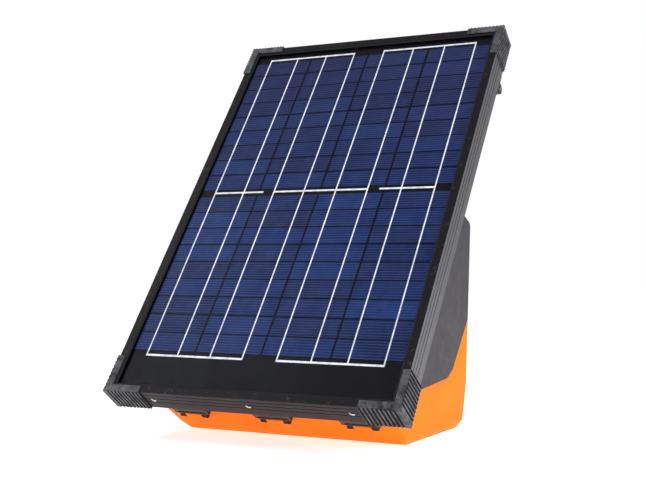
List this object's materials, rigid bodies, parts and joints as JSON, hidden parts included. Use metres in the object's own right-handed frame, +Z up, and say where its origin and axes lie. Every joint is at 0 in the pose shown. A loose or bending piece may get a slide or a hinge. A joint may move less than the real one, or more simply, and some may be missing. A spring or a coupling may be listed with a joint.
{
  "type": "solar fence energizer",
  "caption": "Portable electric-fence energizer: tilted framed solar panel with rubber corners on a grey and orange latched battery housing with rear terminals and knob.",
  "frame": {"origin": "middle of the flat underside of the base, on the ground", "axes": "+Z up; -Y towards the front, where the lower edge of the panel and the latches are; +X to the object's left-to-right as seen from the front"},
  "size_m": [0.456, 0.4484, 0.6262],
  "materials": {
    "orange_housing": "moulded, fine texture",
    "grey_housing": "moulded, fine texture",
    "seal_rubber": "matt",
    "pin_steel": "bright zinc",
    "latch_plastic": "moulded glass-filled nylon",
    "black_frame": "black anodised",
    "side_frame": "grey anodised",
    "bar_aluminium": "mill finish",
    "cap_rubber": "ribbed, scuffed",
    "solar_glass": "tempered, clear",
    "ribbon_metal": "tinned copper",
    "cell_silicon": "polycrystalline silicon",
    "backsheet_black": "smooth film",
    "box_plastic": "moulded",
    "lead_black": "PVC jacket",
    "lead_red": "PVC jacket",
    "battery_case": "moulded ABS",
    "brass_metal": "turned",
    "board_green": "solder mask",
    "core_ferrite": "sintered ferrite",
    "winding_copper": "enamelled copper wire",
    "capacitor_sleeve": "shrink sleeve",
    "lamp_lens": "diffused epoxy",
    "window_clear": "clear polycarbonate",
    "knob_black": "moulded",
    "knob_red": "moulded",
    "knob_green": "moulded",
    "handle_grey": "powder coated"
  },
  "bodies": {
    "base": {"base_shell": "orange_housing", "lid_gasket": "seal_rubber", "hinge_pins": "pin_steel", "latch_pins": "pin_steel", "panel_socket": "box_plastic", "battery": "battery_case", "battery_terminals": "brass_metal", "battery_strap": "pin_steel", "strap_screws": "pin_steel", "battery_lead_red": "lead_red", "battery_lead_black": "lead_black", "battery_grommets": "seal_rubber", "circuit_board": "board_green", "board_screws": "pin_steel", "transformer_core": "core_ferrite", "transformer_winding": "winding_copper", "storage_capacitors": "capacitor_sleeve", "rotary_switch": "box_plastic", "status_lamps": "lamp_lens", "lamp_window": "window_clear", "electronics_cover": "box_plastic", "cover_screws": "pin_steel", "terminal_studs": "brass_metal", "terminal_nuts": "brass_metal", "terminal_washers": "pin_steel", "output_leads": "lead_red"},
    "lid": {"lid_shell": "grey_housing", "frame_top": "black_frame", "frame_bottom": "black_frame", "frame_left": "side_frame", "frame_right": "side_frame", "corner_keys": "bar_aluminium", "cap_top_left": "cap_rubber", "cap_top_right": "cap_rubber", "cap_bottom_left": "cap_rubber", "cap_bottom_right": "cap_rubber", "panel_glass": "solar_glass", "cell_ribbons": "ribbon_metal", "solar_cells": "cell_silicon", "backsheet": "backsheet_black", "junction_box": "box_plastic", "junction_box_lid": "box_plastic", "mounting_bars": "bar_aluminium", "bar_screws": "pin_steel", "housing_screws": "pin_steel", "bar_nuts": "pin_steel", "lead_grommet": "seal_rubber", "panel_lead": "lead_black", "panel_plug": "box_plastic", "handle_brackets": "latch_plastic", "handle_pivots": "pin_steel"},
    "latch_left": {"latch_left": "latch_plastic"},
    "latch_centre": {"latch_centre": "latch_plastic"},
    "latch_right": {"latch_right": "latch_plastic"},
    "power_knob": {"switch_shaft": "pin_steel", "power_knob": "knob_black"},
    "fence_knob": {"fence_knob": "knob_red"},
    "earth_knob": {"earth_knob": "knob_green"},
    "carry_handle": {"carry_handle": "handle_grey"}
  },
  "joints": [
    {"name": "lid_hinge", "type": "hinge", "parent": "base", "child": "lid", "pos_m": [0, 0.12699, 0.165], "axis": [-1, 0, 0], "range_deg": [0, 45]},
    {"name": "latch_left_swing", "type": "hinge", "parent": "base", "child": "latch_left", "pos_m": [-0.134, -0.15246, 0.02876], "axis": [1, 0, 0], "range_deg": [0, 50]},
    {"name": "latch_centre_swing", "type": "hinge", "parent": "base", "child": "latch_centre", "pos_m": [0, -0.15246, 0.02876], "axis": [1, 0, 0], "range_deg": [0, 50]},
    {"name": "latch_right_swing", "type": "hinge", "parent": "base", "child": "latch_right", "pos_m": [0.134, -0.15246, 0.02876], "axis": [1, 0, 0], "range_deg": [0, 50]},
    {"name": "power_knob_turn", "type": "hinge", "parent": "base", "child": "power_knob", "pos_m": [0, 0.11679, 0.09773], "axis": [0, 0.9976, -0.0698], "range_deg": [0, 135]},
    {"name": "fence_knob_turn", "type": "hinge", "parent": "base", "child": "fence_knob", "pos_m": [-0.055, 0.12316, 0.07423], "axis": [0, 0.9976, -0.0698], "range_deg": [0, 720]},
    {"name": "earth_knob_turn", "type": "hinge", "parent": "base", "child": "earth_knob", "pos_m": [0.055, 0.12316, 0.07423], "axis": [0, 0.9976, -0.0698], "range_deg": [0, 720]},
    {"name": "handle_fold", "type": "hinge", "parent": "lid", "child": "carry_handle", "pos_m": [0, 0.15307, 0.5227], "axis": [-1, 0, 0], "range_deg": [0, 115]}
  ]
}
